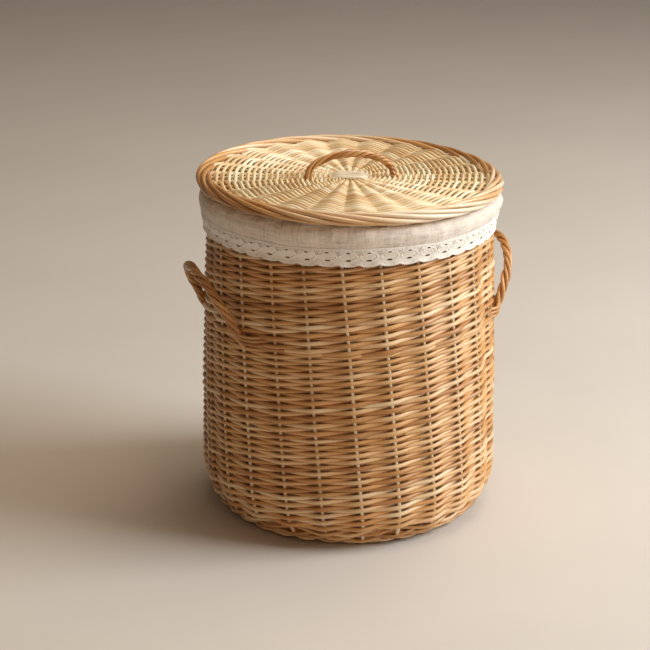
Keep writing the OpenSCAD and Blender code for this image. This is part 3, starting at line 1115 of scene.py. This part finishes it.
class BASKET_OT_lid_weave(bpy.types.Operator):
    """Rods woven round the lid's ribs"""

    bl_idname = "basket.lid_weave"
    bl_label = "Lid weave"

    def execute(self, context):
        size = sizes()
        weave = Bundle(91)
        start = 0.0205
        reach = LID_R - LID_BORDER_W + 0.003
        mean = (size.lid_weaver + size.lid_weaver_middle) / 2
        steps = int((reach - start) / mean)
        angle_at = lambda k, s: k * STEP + LID_RIB_TURN
        core = lambda s: (size.rib / 2 - 0.0003) * (0.55 + 0.45 * smooth(s, 0.02, 0.06))
        thick = (size.lid_weaver_middle, size.lid_weaver)
        randing(weave, Disc(lid_rib_z(), 1).place, angle_at, start, thick, steps, core, 8, 8)
        belong(tilted(weave.build("lid_weave", lid_willow())), "lid", "lid_weave")
        return {"FINISHED"}


def border_tone_and_painted_shade(angle, vary):
    """Tone of a border rod: a random tone plus painted shade, two browner stretches round the lid set by their angle
    from the camera's right.
    """
    tone = 0.14 + vary
    # Painted shade: browner stretches centred at these angles from the camera's right
    for middle, amount in ((-150, 0.75), (68, 0.62)):
        apart = math.remainder(angle - CAMERA_TURN - math.radians(middle), 2 * math.pi)
        tone += amount * math.exp(-((apart / math.radians(38)) ** 2))
    return min(1.0, max(0.0, tone))


class BASKET_OT_lid_border(bpy.types.Operator):
    """Thick rods rolled round the lid's edge"""

    bl_idname = "basket.lid_border"
    bl_label = "Lid border"

    def execute(self, context):
        border = Bundle(95)
        half_w, half_h = LID_BORDER_W / 2 + 0.0004, (LID_TOP - LID_LOW) / 2
        middle = (LID_R - half_w, LID_LOW + half_h)
        start = LID_RIB_TURN + 0.012
        rolled_border(border, middle, (half_w, half_h), sizes().border_rod, 5.6, (158, -170), start, 10, 9, border_tone_and_painted_shade)
        belong(tilted(border.build("lid_border", lid_border_willow())), "lid", "lid_border")
        return {"FINISHED"}


class BASKET_OT_lid_handle(bpy.types.Operator):
    """Arch of twisted rods over the middle of the lid"""

    bl_idname = "basket.lid_handle"
    bl_label = "Lid handle"

    def execute(self, context):
        half_w, off, turn = 0.112 / 2, 0.006, math.radians(-8.5)
        base = LID_TOP - 0.003
        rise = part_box("lid_handle")[1].z - 0.005 - base
        a = np.linspace(-0.18, math.pi + 0.18, 110)
        x, z = -half_w * np.cos(a) * (1 - 0.25 * (np.sin(a) < 0) * np.sin(a)), base + rise * np.sin(a)
        line = resampled(spun(x, -off, z, turn), 110)
        share = np.linspace(0, 1, 110)
        twist = 2 * math.pi * (0.8 * share + 2.2 * share**2.2)
        handle = Bundle(97)
        out = np.array([math.sin(turn), -math.cos(turn), 0.0])
        rope(handle, line, out, sizes().lid_handle_rod, 0.0031, twist, 6)
        belong(tilted(handle.build("lid_handle", rope_willow())), "lid", "lid_handle")
        return {"FINISHED"}


class BASKET_PT_panel(bpy.types.Panel):
    """Sidebar panel with the basket's operators and settings"""

    bl_idname = "BASKET_PT_panel"
    bl_label = "Woven laundry basket"
    bl_space_type = "VIEW_3D"
    bl_region_type = "UI"
    bl_category = "Basket"

    def draw(self, context):
        for operator in OPERATORS:
            self.layout.operator(operator.bl_idname)
        for group in (context.scene.basket_sizes, context.scene.basket_finish):
            box = self.layout.box()
            for key in group.__annotations__:
                box.prop(group, key)


OPERATORS = (
    BASKET_OT_stage,
    BASKET_OT_base,
    BASKET_OT_stakes,
    BASKET_OT_foot,
    BASKET_OT_side,
    BASKET_OT_rim,
    BASKET_OT_liner,
    BASKET_OT_cuff,
    BASKET_OT_lace,
    BASKET_OT_side_handles,
    BASKET_OT_lid_ribs,
    BASKET_OT_lid_weave,
    BASKET_OT_lid_border,
    BASKET_OT_lid_handle,
)
CLASSES = (BasketSizes, BasketFinish, *OPERATORS, BASKET_PT_panel)


def register():
    for cls in CLASSES:
        bpy.utils.register_class(cls)
    bpy.types.Scene.basket_sizes = PointerProperty(type=BasketSizes)
    bpy.types.Scene.basket_finish = PointerProperty(type=BasketFinish)


def unregister():
    del bpy.types.Scene.basket_finish
    del bpy.types.Scene.basket_sizes
    for cls in reversed(CLASSES):
        bpy.utils.unregister_class(cls)


def main():
    register()
    bpy.context.scene.view_settings.view_transform = "Standard"
    for operator in OPERATORS:
        group, name = operator.bl_idname.split(".")
        getattr(getattr(bpy.ops, group), name)()


if __name__ == "__main__":
    main()
